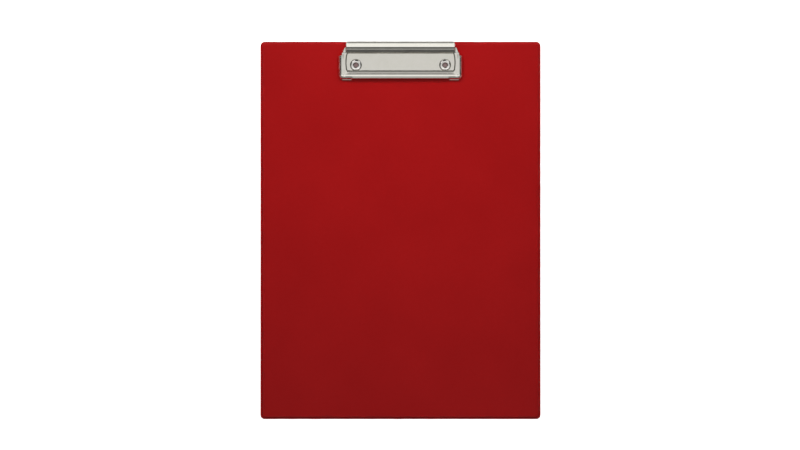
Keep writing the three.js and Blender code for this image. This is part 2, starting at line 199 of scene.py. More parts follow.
# ---- Rivets and washers ----
SEAT_GAP = 0.04
BORE_RADIUS = 1.9
TUBE_RADIUS = 2.5
RIDGE_RADIUS = 2.9  # the collar's crown
COLLAR_FALL = 1.2
COLLAR_BEVEL = 0.1
BORE_FALL = 0.9
TAIL_RADIUS = 4.0
TAIL_THICKNESS = 0.45
TAIL_FLARE = 3.0
TAIL_FALL = 0.3
TAIL_ROUND = 0.2
WASHER_ROUND = 0.12

# ---- Camera ----
CAMERA_HEIGHT = 1300.0
CAMERA_X = -0.42
CAMERA_Y = 4.56
FRAME_WIDTH = 673.2  # what the view takes in at the height of the writing face
SENSOR = 36.0

# ---- Light ----
ROOM_LEAN = (0.0, -0.45, 0.893)  # the middle of the bright panel overhead
ROOM_TONES = [  # (how far towards the panel's middle, brightness there)
    (0.25, 0.04),
    (0.5, 0.05),
    (0.61, 0.07),
    (0.72, 0.28),
    (0.81, 0.63),
    (0.893, 0.75),
    (0.95, 0.98),
]
ROOM_STRENGTH = 1.25
KEY_SPREAD = 60  # degrees
TABLE_HALF = 6000
TABLE_INSET = 3  # the tinted square lies this far inside the board's outline
TABLE_SINK = 0.02  # the table's top is this far below the board


def at(x, down, up):
    return (x, EDGE_Y - down, BOARD_TOP + up)


def smooth(value, low, high):
    """0 below low, 1 above high, and an S curve between them."""
    t = min(max((value - low) / (high - low), 0.0), 1.0)
    return t * t * (3 - 2 * t)


def mix(a, b, share):
    return tuple(p + (q - p) * share for p, q in zip(a, b))


def rounded(corners, steps=5):
    """Points of a line whose corners, given as (a, b, radius), are true arcs."""
    points = []
    for i, (a, b, radius) in enumerate(corners):
        here = Vector((a, b))
        if not radius:
            points.append((a, b))
            continue
        back = (Vector(corners[i - 1][:2]) - here).normalized()
        ahead = (Vector(corners[(i + 1) % len(corners)][:2]) - here).normalized()
        half = back.angle(ahead) / 2
        middle = here + (back + ahead).normalized() * radius / math.sin(half)
        start = here + back * radius / math.tan(half) - middle
        end = here + ahead * radius / math.tan(half) - middle
        first = math.atan2(start.y, start.x)
        sweep = (math.atan2(end.y, end.x) - first + math.pi) % math.tau - math.pi
        for step in range(steps + 1):
            angle = first + sweep * step / steps
            points.append((middle.x + radius * math.cos(angle), middle.y + radius * math.sin(angle)))
    return points


def divided(points, longest):
    """The same line with its long stretches cut into shorter ones."""
    line = [points[0]]
    for a, b in zip(points, points[1:]):
        pieces = max(1, math.ceil(math.dist(a, b) / longest))
        line += [mix(a, b, (k + 1) / pieces) for k in range(pieces)]
    return line


def resampled(points, count):
    """count points spread evenly along the line."""
    lengths = np.cumsum([0.0] + [math.dist(a, b) for a, b in zip(points, points[1:])])
    marks = np.linspace(0, lengths[-1], count)
    columns = [np.interp(marks, lengths, column) for column in zip(*points)]
    return [tuple(point) for point in zip(*columns)]


# ---- Mesh helpers ----


def grid(bm, rows):
    """Adds quads between equal rows of points."""
    verts = [[bm.verts.new(point) for point in row] for row in rows]
    for above, below in zip(verts, verts[1:]):
        for k in range(len(above) - 1):
            bm.faces.new((above[k], above[k + 1], below[k + 1], below[k]))
    return verts


def weld(bm, distance=1e-3):
    bmesh.ops.remove_doubles(bm, verts=bm.verts, dist=distance)
    bmesh.ops.dissolve_degenerate(bm, edges=bm.edges, dist=distance / 2)


def turn_skin(bm, facing):
    """Turns an open skin so that its furthest face in that direction looks that way."""
    bmesh.ops.recalc_face_normals(bm, faces=bm.faces)
    bm.normal_update()
    furthest = max(bm.faces, key=lambda face: face.calc_center_median().dot(facing))
    if furthest.normal.dot(facing) < 0:
        bmesh.ops.reverse_faces(bm, faces=bm.faces)
    bm.normal_update()


def edge_outwards(bm):
    """For each vertex on the skin's edge, the way out of the sheet there."""
    ways = {}
    for edge in bm.edges:
        if not edge.is_boundary:
            continue
        face = edge.link_faces[0]
        along = edge.verts[1].co - edge.verts[0].co
        out = along.cross(face.normal).normalized()
        middle = (edge.verts[0].co + edge.verts[1].co) / 2
        if out.dot(face.calc_center_median() - middle) > 0:
            out = -out
        for vert in edge.verts:
            ways.setdefault(vert, []).append(out)
    outwards = {}
    for vert, outs in ways.items():
        total = sum(outs, Vector())
        spread = max(total.length / len(outs), 0.6)
        outwards[vert] = total.normalized() / spread
    return outwards


def thicken(bm, facing, thickness=SHEET, rounding=EDGE_ROUND, steps=3):
    """Makes sheet metal of an open skin: the skin is its outer face, and its edges are rounded."""
    turn_skin(bm, facing)
    skin = list(bm.verts)
    faces = list(bm.faces)
    outwards = edge_outwards(bm)
    border = [edge for edge in bm.edges if edge.is_boundary]
    runs = [(edge, edge.link_faces[0]) for edge in border]
    depth = {vert: min(vert.calc_shell_factor(), 1.4) * thickness for vert in skin}
    normal = {vert: vert.normal.copy() for vert in skin}
    inner = {vert: bm.verts.new(vert.co - normal[vert] * depth[vert]) for vert in skin}
    profile = {}
    for vert, out in outwards.items():
        deep = depth[vert]
        ring = [vert]
        for step in range(1, steps + 1):
            angle = math.pi / 2 * step / steps
            reach = out * rounding * math.sin(angle)
            drop = rounding * (1 - math.cos(angle))
            ring.append(bm.verts.new(vert.co + reach - normal[vert] * drop))
        for step in range(steps, 0, -1):
            angle = math.pi / 2 * step / steps
            reach = out * rounding * math.sin(angle)
            drop = deep - rounding * (1 - math.cos(angle))
            ring.append(bm.verts.new(vert.co + reach - normal[vert] * drop))
        profile[vert] = ring + [inner[vert]]
    for face in faces:
        bm.faces.new([inner[vert] for vert in reversed(face.verts)])
    for edge, face in runs:
        loop = next(loop for loop in face.loops if loop.edge == edge)
        first = profile[loop.vert]
        second = profile[loop.link_loop_next.vert]
        for k in range(len(first) - 1):
            bm.faces.new((first[k], first[k + 1], second[k + 1], second[k]))
    bmesh.ops.recalc_face_normals(bm, faces=bm.faces)


def rings_skin(bm, rings, closed=False):
    """Joins closed rings of points with quads."""
    verts = [[bm.verts.new(point) for point in ring] for ring in rings]
    pairs = list(zip(verts, verts[1:]))
    if closed:
        pairs.append((verts[-1], verts[0]))
    for low, high in pairs:
        count = len(low)
        for k in range(count):
            after = (k + 1) % count
            bm.faces.new((low[k], low[after], high[after], high[k]))
    return verts


def loop_edges(bm, ring):
    return [bm.edges.get((a, b)) for a, b in zip(ring, ring[1:] + ring[:1])]


def cap(bm, rings):
    """Closes a flat region whose outline and holes are the given rings of vertices."""
    edges = [edge for ring in rings for edge in loop_edges(bm, ring)]
    bmesh.ops.triangle_fill(bm, edges=edges, use_beauty=True)


def on_circle(middle, radius, angle):
    return middle[0] + radius * math.cos(angle), middle[1] + radius * math.sin(angle)


def circle(x, y, radius, sides):
    return [on_circle((x, y), radius, math.tau * k / sides) for k in range(sides)]


def rounded_rectangle(half_x, half_y, radius, along_x, along_y, corner_steps=8):
    """Points anticlockwise round a rectangle, with along_x and along_y steps on its sides."""
    corners = [(half_x, half_y), (-half_x, half_y), (-half_x, -half_y), (half_x, -half_y)]
    points = []
    for number, (x, y) in enumerate(corners):
        middle = (x - math.copysign(radius, x), y - math.copysign(radius, y))
        for step in range(corner_steps + 1):
            points.append(on_circle(middle, radius, math.pi / 2 * (number + step / corner_steps)))
        after_x, after_y = corners[(number + 1) % 4]
        after_middle = (after_x - math.copysign(radius, after_x), after_y - math.copysign(radius, after_y))
        goal = on_circle(after_middle, radius, math.pi / 2 * (number + 1))
        pieces = along_y if number % 2 else along_x
        points += [mix(points[-1], goal, k / pieces) for k in range(1, pieces)]
    return points


def turned(bm, profile, centre, sides, axis="Z"):
    """A lathe piece from a closed profile of (radius, height) points, about a centre across the axis."""
    rings = []
    for k in range(sides):
        c = math.cos(math.tau * k / sides)
        s = math.sin(math.tau * k / sides)
        if axis == "Z":
            rings.append([(centre[0] + r * c, centre[1] + r * s, h) for r, h in profile])
        else:
            rings.append([(h, centre[0] + r * c, centre[1] + r * s) for r, h in profile])
    rings_skin(bm, rings, closed=True)
    weld(bm)
    bmesh.ops.recalc_face_normals(bm, faces=bm.faces)


def piece(name, bm, node, material, body=None, sharp=40):
    """Turns the drawn mesh into a piece that stands for a CAD node and moves with its body."""
    bmesh.ops.scale(bm, vec=(MM, MM, MM), verts=bm.verts)
    mesh = bpy.data.meshes.new(name)
    bm.to_mesh(mesh)
    bm.free()
    mesh.shade_smooth()
    mesh.set_sharp_from_angle(angle=math.radians(sharp))
    mesh.materials.append(material)
    obj = bpy.data.objects.new(name, mesh)
    bpy.context.scene.collection.objects.link(obj)
    weighted = obj.modifiers.new("flat faces stay flat", "WEIGHTED_NORMAL")
    weighted.keep_sharp = True
    weighted.weight = 80
    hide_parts(node)
    if body:
        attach(obj, body)
    return obj


# ---- Materials ----


class Nodes:
    """A short way to write a node material."""

    def __init__(self, name):
        self.material = bpy.data.materials.new(name)
        self.material.use_nodes = True
        self.tree = self.material.node_tree
        self.shader = self.tree.nodes["Principled BSDF"]
        self.place = self.add("ShaderNodeTexCoord").outputs["Object"]

    def add(self, kind, **settings):
        node = self.tree.nodes.new(kind)
        for key, value in settings.items():
            setattr(node, key, value)
        return node

    def link(self, source, socket):
        self.tree.links.new(source, socket)

    def stretched(self, scale):
        node = self.add("ShaderNodeMapping")
        node.inputs["Scale"].default_value = scale
        self.link(self.place, node.inputs["Vector"])
        return node.outputs["Vector"]

    def noise(self, size_mm, detail=3.0, roughness=0.55, stretch=(1, 1, 1)):
        """Noise whose features are about size_mm across."""
        node = self.add("ShaderNodeTexNoise")
        node.inputs["Scale"].default_value = 1 / (size_mm * MM)
        node.inputs["Detail"].default_value = detail
        node.inputs["Roughness"].default_value = roughness
        self.link(self.stretched(stretch), node.inputs["Vector"])
        return node.outputs["Fac"]

    def cells(self, size_mm, feature="F1"):
        node = self.add("ShaderNodeTexVoronoi", feature=feature)
        node.inputs["Scale"].default_value = 1 / (size_mm * MM)
        self.link(self.place, node.inputs["Vector"])
        return node.outputs["Distance"]

    def ranged(self, value, low, high, start=0.3, end=0.7):
        """Maps start..end of value to low..high."""
        node = self.add("ShaderNodeMapRange")
        node.inputs["From Min"].default_value = start
        node.inputs["From Max"].default_value = end
        node.inputs["To Min"].default_value = low
        node.inputs["To Max"].default_value = high
        self.link(value, node.inputs["Value"])
        return node.outputs["Result"]

    def sum(self, a, b):
        node = self.add("ShaderNodeMath", operation="ADD")
        self.link(a, node.inputs[0])
        self.link(b, node.inputs[1])
        return node.outputs["Value"]

    def colours(self, share, first, second):
        node = self.add("ShaderNodeMix", data_type="RGBA")
        self.link(share, node.inputs["Factor"])
        a, b = [socket for socket in node.inputs if socket.type == "RGBA"][:2]
        for socket, value in ((a, first), (b, second)):
            if isinstance(value, tuple):
                socket.default_value = (*value, 1)
            else:
                self.link(value, socket)
        return [socket for socket in node.outputs if socket.type == "RGBA"][0]

    def bump(self, height, depth_mm, before=None):
        """Bump whose height is depth_mm between the value's 0 and 1."""
        node = self.add("ShaderNodeBump")
        node.inputs["Strength"].default_value = 1
        node.inputs["Distance"].default_value = depth_mm * MM
        self.link(height, node.inputs["Height"])
        if before is not None:
            self.link(before, node.inputs["Normal"])
        return node.outputs["Normal"]

    def set(self, **values):
        for name, value in values.items():
            socket = self.shader.inputs[name.replace("_", " ")]
            if isinstance(value, bpy.types.NodeSocket):
                self.link(value, socket)
            elif isinstance(value, tuple):
                socket.default_value = (*value, 1)
            else:
                socket.default_value = value
        return self.material


def red_film():
    """Soft PVC film with a fine satin grain. It lies a little unevenly on the greyboard under it."""
    n = Nodes("red_pvc_film")
    drift = n.noise(60, detail=2)
    mottle = n.noise(3, detail=4)
    grain = n.noise(0.35, detail=3)
    colour = n.colours(n.ranged(drift, 0, 1), (0.335, 0.0016, 0.0022), (0.37, 0.0028, 0.0034))
    colour = n.colours(n.ranged(mottle, 0, 0.3), colour, (0.30, 0.0016, 0.0020))
    waves = n.bump(n.noise(28, detail=1), 0.05)
    normal = n.bump(grain, 0.006, waves)
    roughness = n.sum(n.ranged(mottle, 0.44, 0.52), n.ranged(grain, -0.03, 0.03))
    n.shader.inputs["Specular IOR Level"].default_value = 0.1
    return n.set(Base_Color=colour, Roughness=roughness, Normal=normal)


def greyboard():
    """Raw millboard: short fibres, darker specks and a soft open surface."""
    n = Nodes("raw_greyboard")
    fibres = n.noise(0.8, detail=5, roughness=0.7, stretch=(1, 3, 1))
    specks = n.cells(1.1)
    colour = n.colours(n.ranged(fibres, 0, 1), (0.20, 0.18, 0.14), (0.31, 0.28, 0.22))
    colour = n.colours(n.ranged(specks, 0.6, 0, 0.05, 0.2), colour, (0.09, 0.08, 0.07))
    return n.set(
        Base_Color=colour,
        Roughness=n.ranged(fibres, 0.85, 0.97),
        Normal=n.bump(fibres, 0.05),
    )


def plated(name, first, second, shine, waviness, scratch):
    """Bright plate over pressed steel: faint waves, fine scratches along X and cloudy wear."""
    n = Nodes(name)
    clouds = n.noise(7, detail=4)
    scratches = n.noise(0.25, detail=2, stretch=(0.02, 1, 1))
    pits = n.noise(0.15, detail=2)
    waves = n.bump(n.noise(9, detail=1), waviness)
    lined = n.bump(scratches, scratch, waves)
    normal = n.bump(pits, scratch / 3, lined)
    roughness = n.sum(n.ranged(clouds, *shine), n.ranged(scratches, -0.02, 0.03, 0.35, 0.65))
    return n.set(
        Base_Color=n.colours(n.ranged(clouds, 0, 1), first, second),
        Roughness=roughness,
        Normal=normal,
        Metallic=1.0,
    )


def nickel_sheet():
    dull, bright = (0.71, 0.69, 0.625), (0.74, 0.72, 0.66)
    return plated("nickel_plated_sheet", dull, bright, shine=(0.10, 0.15), waviness=0.006, scratch=0.0012)


def nickel_rivet():
    dull, bright = (0.74, 0.72, 0.69), (0.78, 0.76, 0.73)
    return plated("nickel_plated_rivet", dull, bright, shine=(0.06, 0.11), waviness=0.002, scratch=0.0006)


def drawn_wire(name, first, second, roughness):
    """Wire drawn through a die: fine lines and patches of dull oxide."""
    n = Nodes(name)
    patches = n.noise(2.2, detail=4)
    lines = n.noise(0.2, detail=2, stretch=(0.05, 1, 1))
    return n.set(
        Base_Color=n.colours(n.ranged(patches, 0, 1), first, second),
        Roughness=n.ranged(patches, *roughness),
        Normal=n.bump(lines, 0.004),
        Metallic=1.0,
    )


def white_table():
    """Backlit white studio table."""
    n = Nodes("white_table")
    tone = n.noise(400, detail=2)
    n.shader.inputs["Emission Color"].default_value = (1, 1, 1, 1)
    n.shader.inputs["Emission Strength"].default_value = 0.95
    colour = n.colours(n.ranged(tone, 0, 1), (0.80, 0.80, 0.80), (0.84, 0.84, 0.84))
    return n.set(Base_Color=colour, Roughness=0.9)


def table_with_painted_shade():
    """The same table under the board, with a painted shade and a painted red tint that stand for the board's
    shadow and the red light its film throws down. It shows through the rivets' bores.
    """
    n = Nodes("table_with_painted_shade")
    tone = n.noise(400, detail=2)
    # painted shade and painted red bounce light: darker and pinker than the white table
    colour = n.colours(n.ranged(tone, 0, 1), (0.58, 0.41, 0.41), (0.62, 0.44, 0.44))
    return n.set(Base_Color=colour, Roughness=0.9)


# ---- Camera, floor and light ----


def camera():
    data = bpy.data.cameras.new("camera")
    data.sensor_width = SENSOR
    data.lens = SENSOR * CAMERA_HEIGHT / FRAME_WIDTH
    data.clip_start = 0.01
    data.clip_end = 50
    obj = bpy.data.objects.new("camera", data)
    obj.location = (CAMERA_X * MM, CAMERA_Y * MM, (BOARD_TOP + CAMERA_HEIGHT) * MM)
    bpy.context.scene.collection.objects.link(obj)
    bpy.context.scene.camera = obj


def floor():
    """A wide pale table. Its middle square lies under the board and carries a painted shade with a painted
    red tint.
    """
    xs, ys = [[-TABLE_HALF, TABLE_INSET - half, half - TABLE_INSET, TABLE_HALF] for half in BOARD_HALF]
    bm = bmesh.new()
    grid(bm, [[(x * MM, y * MM, -TABLE_SINK * MM) for x in xs] for y in ys])
    turn_skin(bm, UP)
    for face in bm.faces:
        middle = face.calc_center_median()
        face.material_index = int(max(abs(middle.x), abs(middle.y)) < 0.001)
    mesh = bpy.data.meshes.new("table")
    bm.to_mesh(mesh)
    bm.free()
    mesh.materials.append(white_table())
    mesh.materials.append(table_with_painted_shade())
    obj = bpy.data.objects.new("table", mesh)
    obj.visible_diffuse = False
    bpy.context.scene.collection.objects.link(obj)


def softbox(name, azimuth, elevation, distance, size, power, spread=180, mirrored=False):
    """An area light that looks at the clip. Azimuth is from +X towards +Y.

    Only a mirrored one is seen in the plated metal: the others just light the red film.
    """
    target = Vector((0, EDGE_Y * 0.6 * MM, 0))
    a, e = math.radians(azimuth), math.radians(elevation)
    way = Vector((math.cos(a) * math.cos(e), math.sin(a) * math.cos(e), math.sin(e)))
    data = bpy.data.lights.new(name, "AREA")
    data.shape = "RECTANGLE"
    data.size = size
    data.size_y = size
    data.energy = power
    data.spread = math.radians(spread)
    obj = bpy.data.objects.new(name, data)
    obj.visible_glossy = mirrored
    obj.location = target + way * distance
    obj.rotation_euler = (-way).to_track_quat("-Z", "Y").to_euler()
    bpy.context.scene.collection.objects.link(obj)


def room():
    """A big soft panel overhead, leaning towards the board's foot, in a room with a dark horizon.

    It is there for the metal to mirror. The softboxes light the film.
    """
    world = bpy.data.worlds.new("studio")
    world.cycles_visibility.diffuse = False
    bpy.context.scene.world = world
    world.use_nodes = True
    tree = world.node_tree
    tree.nodes.clear()
    place = tree.nodes.new("ShaderNodeTexCoord")
    dot = tree.nodes.new("ShaderNodeVectorMath")
    dot.operation = "DOT_PRODUCT"
    dot.inputs[1].default_value = ROOM_LEAN
    ramp = tree.nodes.new("ShaderNodeValToRGB")
    ramp.color_ramp.interpolation = "EASE"
    elements = ramp.color_ramp.elements
    while len(elements) < len(ROOM_TONES):
        elements.new(0.5)
    for element, (position, tone) in zip(elements, ROOM_TONES):
        element.position = position
        element.color = (tone, tone, tone, 1)
    background = tree.nodes.new("ShaderNodeBackground")
    background.inputs["Strength"].default_value = ROOM_STRENGTH
    output = tree.nodes.new("ShaderNodeOutputWorld")
    links = tree.links
    links.new(place.outputs["Generated"], dot.inputs[0])
    links.new(dot.outputs["Value"], ramp.inputs["Fac"])
    links.new(ramp.outputs["Color"], background.inputs["Color"])
    links.new(background.outputs["Background"], output.inputs["Surface"])


# ---- Board ----


def film_section(side):
    """One film from the edge of its inner face, round the rim, to the edge of its outer face.

    Points are (distance in from the board's outline, height from the middle plane).
    """
    run = RIM_WIDTH + RIM_SLOPE
    corners = [
        (run + 0.4, FACE_GAP, 0),
        (run, FACE_GAP, 0.25),
        (RIM_WIDTH, RIM_GAP, 0.25),
        (0.0, RIM_GAP, 0.04),
        (0.0, RIM_GAP + FILM, 0.15),
        (RIM_WIDTH - 0.15, RIM_GAP + FILM, 0.5),
        (run - 0.25, FACE_GAP + FILM, 0.7),
        (run + 1.2, FACE_GAP + FILM, 0),
    ]
    return [(inset, side * height) for inset, height in rounded(corners, steps=4)]


def ripple(x, y, height, inset):
    """The weld draws the rim slightly in and out, and up and down."""
    fade = 1 - smooth(inset, RIPPLE_START, RIM_WIDTH + RIM_SLOPE)
    wobble = noise.noise(Vector((x, y, 0)) / RIPPLE_PULL_SIZE)
    lift = noise.noise(Vector((x, y, 40)) / RIPPLE_LIFT_SIZE)
    pull = -RIPPLE * fade * (1 - wobble)
    reach = max(math.hypot(x, y), 1)
    return x + pull * x / reach, y + pull * y / reach, height + RIPPLE * fade * lift


def film(name, node, side, hole_radius):
    """A cover film: a rim that is welded to the other film, a soft step and a flat face, pierced twice."""
    middle = BOARD_TOP / 2
    bm = bmesh.new()
    rings = []
    for inset, height in film_section(side):
        corner = max(BOARD_CORNER - inset, LEAST_CORNER)
        outline = rounded_rectangle(BOARD_HALF[0] - inset, BOARD_HALF[1] - inset, corner, *RIM_STEPS)
        rings.append([ripple(x, y, middle + height, inset) for x, y in outline])
    verts = rings_skin(bm, rings)
    holes = []
    inner_height = middle + side * FACE_GAP
    outer_height = middle + side * (FACE_GAP + FILM)
    for hand in (-1, 1):
        x, y = rivet_place(hand)
        levels = [
            (hole_radius, inner_height),
            (hole_radius, outer_height - side * HOLE_BEVEL),
            (hole_radius + HOLE_BEVEL, outer_height),
        ]
        hole = [[(*p, level) for p in circle(x, y, r, 40)] for r, level in levels]
        holes.append(rings_skin(bm, hole))
    cap(bm, [verts[0]] + [hole[0] for hole in holes])
    cap(bm, [verts[-1]] + [hole[-1] for hole in holes])
    bmesh.ops.recalc_face_normals(bm, faces=bm.faces)
    piece(name, bm, node, RED_FILM, "board")


def rivet_place(hand):
    low, high = box_mm("rivet_left" if hand < 0 else "rivet_right")
    return (low[0] + high[0]) / 2, (low[1] + high[1]) / 2


# ---- Base plate ----


def base_plate():
    """The flat plate, with its two ears folded up round the rod."""
    bm = bmesh.new()
    plate_flat(bm)
    for hand in (-1, 1):
        ear(bm, hand)
    piece("base_plate_pressing", bm, "clip_base_plate", NICKEL_SHEET, "board")


def plate_outline(inset):
    """The plate seen from above, drawn in by inset: a rectangle with a narrower neck by the hinge."""
    wide = PLATE_HIGH[0] - inset
    neck = NECK_HALF - inset
    near = PLATE_HIGH[1] - inset
    step = EDGE_Y - NECK_END_DOWN - inset
    far = PLATE_LOW[1] + inset
    right = [
        (wide, far, PLATE_CORNER - inset),
        (wide, step, NECK_CORNER - inset),
        (neck, step, NECK_FILLET + inset),
        (neck, near, PLATE_CORNER - inset),
    ]
    left = [(-x, y, radius) for x, y, radius in reversed(right)]
    return rounded(right + left)


def plate_flat(bm):
    top = BOARD_TOP + PLATE_TOP
    bottom = top - SHEET
    rings = []
    for step in range(9):
        angle = math.pi * (step / 8 - 0.5)
        inset = EDGE_ROUND * (1 - math.cos(angle))
        core = bottom + EDGE_ROUND if angle < 0 else top - EDGE_ROUND
        rings.append([(x, y, core + EDGE_ROUND * math.sin(angle)) for x, y in plate_outline(inset)])
    skin = bmesh.new()
    verts = rings_skin(skin, rings)
    holes = []
    for hand in (-1, 1):
        x, y = rivet_place(hand)
        outline = circle(x, y, HOLE_RADIUS, 32)
        holes.append(rings_skin(skin, [[(*p, z) for p in outline] for z in (bottom, top)]))
    cap(skin, [verts[0]] + [hole[0] for hole in holes])
    cap(skin, [verts[-1]] + [hole[-1] for hole in holes])
    bmesh.ops.recalc_face_normals(skin, faces=skin.faces)
    add(bm, skin)


def add(bm, other):
    """Moves the other mesh into this one."""
    mesh = bpy.data.meshes.new("part")
    other.to_mesh(mesh)
    other.free()
    bm.from_mesh(mesh)
    bpy.data.meshes.remove(mesh)


def ring_plate(bm, outline, hole_radius, place):
    """A skin between a round hole at the origin and an outline of (a, b) points about it."""
    hole = []
    for a, b in outline:
        angle = math.atan2(b, a)
        hole.append((hole_radius * math.cos(angle), hole_radius * math.sin(angle)))
    rows = [[mix(h, o, share) for h, o in zip(hole, outline)] for share in (0, 0.5, 1)]
    rings_skin(bm, [[place(*point) for point in row] for row in rows])


def ear(bm, hand):
    """An ear: a bend up from the plate's end, then a round-headed tongue with the rod's hole."""
    outer = NECK_HALF
    low = PLATE_TOP - SHEET + EAR_SINK
    foot_up = low + EAR_BEND + EAR_SINK
    foot = foot_up - HINGE_UP
    sides = [(-EAR_RADIUS, foot * (1 - k / 4)) for k in range(4)]
    head = [(-EAR_RADIUS * math.cos(a), EAR_RADIUS * math.sin(a)) for a in np.linspace(0, math.pi, 15)]
    bottom = [(EAR_RADIUS * (1 - k / 4), foot) for k in range(1, 8)]
    outline = sides + head + [(-a, b) for a, b in reversed(sides)] + bottom
    skin = bmesh.new()
    ring_plate(skin, outline, ROD_HOLE, lambda a, b: at(hand * outer, HINGE_DOWN - a, HINGE_UP + b))
    across = np.linspace(-EAR_RADIUS, EAR_RADIUS, 9)
    bend = rounded([(outer - EAR_FOOT, low, 0), (outer, low, EAR_BEND), (outer, foot_up, 0)])
    grid(skin, [[at(hand * x, HINGE_DOWN - a, up) for a in across] for x, up in bend])
    weld(skin)
    thicken(skin, Vector((hand, 0, 0)), SHEET - 2 * EAR_SINK)
    add(bm, skin)


# ---- Lever ----


def lip_and_wall():
    """Section from the rolled tip of the lip, over the bend and down the wall to its foot."""
    corners = [
        (TIP[0] + ROLL_END[0], TIP[1] - ROLL_END[1], 0),
        (*TIP, ROLL_RADIUS),
        (*BEND, 1.2),
        (*BEAD[0], 0.8),
        (*BEAD[1], 0.8),
        (*FOOT, 0),
    ]
    return divided(rounded(corners, steps=6), 0.5)


def ledge_half(down):
    """Outline of the ledge, which flares out from the lip's corner to the shoulder."""
    share = min(max((down - LEDGE_DOWN) / (LEDGE_END_DOWN - LEDGE_DOWN), 0), 1)
    return LEDGE_START_HALF + (SHOULDER_HALF - LEDGE_START_HALF) * math.sin(math.pi / 2 * share)


def wall_skin(bm):
    """The lip and wall, and beside the wall a steep side that drops to the flat ledge."""
    section = lip_and_wall()
    rows = []
    for down, up in section + [WALL_END]:
        rows.append([at(x, down, up) for x in np.linspace(0, wall_half(down), WALL_COLUMNS)])
    grid(bm, rows)
    rows = []
    for down, up in section + [(LEDGE_END_DOWN, RAIL_TOP)]:
        if down < LEDGE_DOWN or up > TIP[1] - ROLL_ROOM:
            continue
        row = []
        for k in range(TOP_COLUMNS + 1):
            x = WINDOW_HALF + (ledge_half(down) - WINDOW_HALF) * k / TOP_COLUMNS
            fall = smooth(x, WINDOW_HALF, WINDOW_HALF + SIDE_FALL)
            row.append(at(x, down, up + (RAIL_TOP - up) * fall))
        rows.append(row)
    grid(bm, rows)


def wall_half(down):
    """The lip is a little narrower than the wall, which ends at the window's corners."""
    return LIP_HALF + (WINDOW_HALF - LIP_HALF) * smooth(down, LEDGE_DOWN - LIP_FLARE, LEDGE_DOWN)


def inner_edge():
    """The window's flange and its fold, as (out, up)."""
    corners = [(0, FLANGE_UP, 0), (0, RAIL_TOP, FOLD_RADIUS), (FOLD_RADIUS, RAIL_TOP, 0)]
    return divided(rounded(corners, steps=6), 0.7)[:-1]


def outer_wall(jaw, foot, corner):
    """Points of the outer fold and wall: plain on the rails, gentler on the jaw, turned out on the feet."""
    shapes = (RAIL_OUTER, JAW_OUTER, FOOT_OUTER, CORNER_OUTER)
    rail, bar, turned_out, corner_line = [resampled(rounded(shape), OUTER_COUNT) for shape in shapes]
    line = [mix(a, b, jaw) for a, b in zip(rail, bar)]
    line = [mix(a, b, corner) for a, b in zip(line, corner_line)]
    return [mix(a, b, foot) for a, b in zip(line, turned_out)]


def rail_stations():
    """Steps along the right half of the channel: down the rail, round the corner and in along the jaw.

    Each is (place, edge, start, jaw, foot, corner): place turns (out, up) into a point, edge is how far
    the top reaches, start is how much of the inner fold there is, and the rest are shares of a shape.
    """
    stations = []
    corner_down = WINDOW_DOWN - INNER_CORNER
    top = LEDGE_END_DOWN
    near = list(np.linspace(top, OUTER_WALL_DOWN, 11))
    far = list(np.linspace(OUTER_WALL_DOWN, corner_down, 20))[1:-1]
    for down in near + far:
        bow = WINDOW_BOW * math.sin(math.pi * (down - top) / (WINDOW_DOWN - top)) ** BOW_POWER
        shoulder = SHOULDER_HALF - WINDOW_HALF
        edge = shoulder + (TOP_WIDTH - shoulder) * smooth(down, top, NOTCH_DOWN)
        start = smooth(down, top + FOLD_START[0], top + FOLD_START[1]) if down > top else 0
        corner = smooth(down, WINDOW_DOWN - CORNER_BLEND, WINDOW_DOWN)
        stations.append((side_place(down, bow), edge, start, 0, 0, corner))
    for step in range(CORNER_STEPS + 1):
        share = step / CORNER_STEPS
        foot = smooth(share, 0.8, 1)
        stations.append((corner_place(math.pi / 2 * share), TOP_WIDTH, 1, 0, foot, 1))
    for x in list(np.arange(JAW_END, JAW_FINE_END, -JAW_STEP)) + list(np.linspace(JAW_FINE_END, 0, 30)):
        foot = smooth(x, *FOOT_FADE)
        jaw = smooth(JAW_END - x, 0, JAW_BLEND)
        stations.append((jaw_place(x), TOP_WIDTH, 1, jaw, foot, foot))
    return stations


def side_place(down, bow):
    def place(out, up):
        inner = bow * max(0, 1 - out / TOP_WIDTH)
        return at(base_half(out) + inner + out, down, up)
    return place


def base_half(out):
    """The window's corners stand in a little from the rails' own line."""
    return RAIL_HALF - (RAIL_HALF - WINDOW_HALF) * max(0, 1 - out / TOP_WIDTH)


def corner_place(turn):
    def place(out, up):
        radius = max(INNER_CORNER, out - RAIL_WIDTH + OUTER_CORNER)
        x = base_half(out) + out - radius * (1 - math.cos(turn))
        down = WINDOW_DOWN + out - radius * (1 - math.sin(turn))
        return at(x, down, up)
    return place


def jaw_place(x):
    """Along the jaw. Each line of the section starts where its own corner ends."""
    def place(out, up):
        line_end = base_half(out) + out - max(INNER_CORNER, out - RAIL_WIDTH + OUTER_CORNER)
        return at(x / JAW_END * line_end, WINDOW_DOWN + out, up)
    return place


def pressed(x, down, out, jaw):
    """How far the top of the channel is pressed down: the jaw's step and the corner and shoulder creases."""
    slope = BAND_DROP * min(max((BAND_END - out) / (BAND_END - BAND_START), 0), 1)
    groove = GROOVE_DEPTH * math.exp(-(((out - GROOVE_OUT) / GROOVE_WIDTH) ** 2))
    step = jaw * (slope + groove)
    along = smooth(down, *SHOULDER_CREASE_START) * (1 - smooth(down, *SHOULDER_CREASE_END))
    across = math.exp(-(((x - SHOULDER_CREASE_X) / SHOULDER_CREASE_WIDTH) ** 2))
    return step + SHOULDER_CREASE_DEPTH * across * along + crease(x, down)


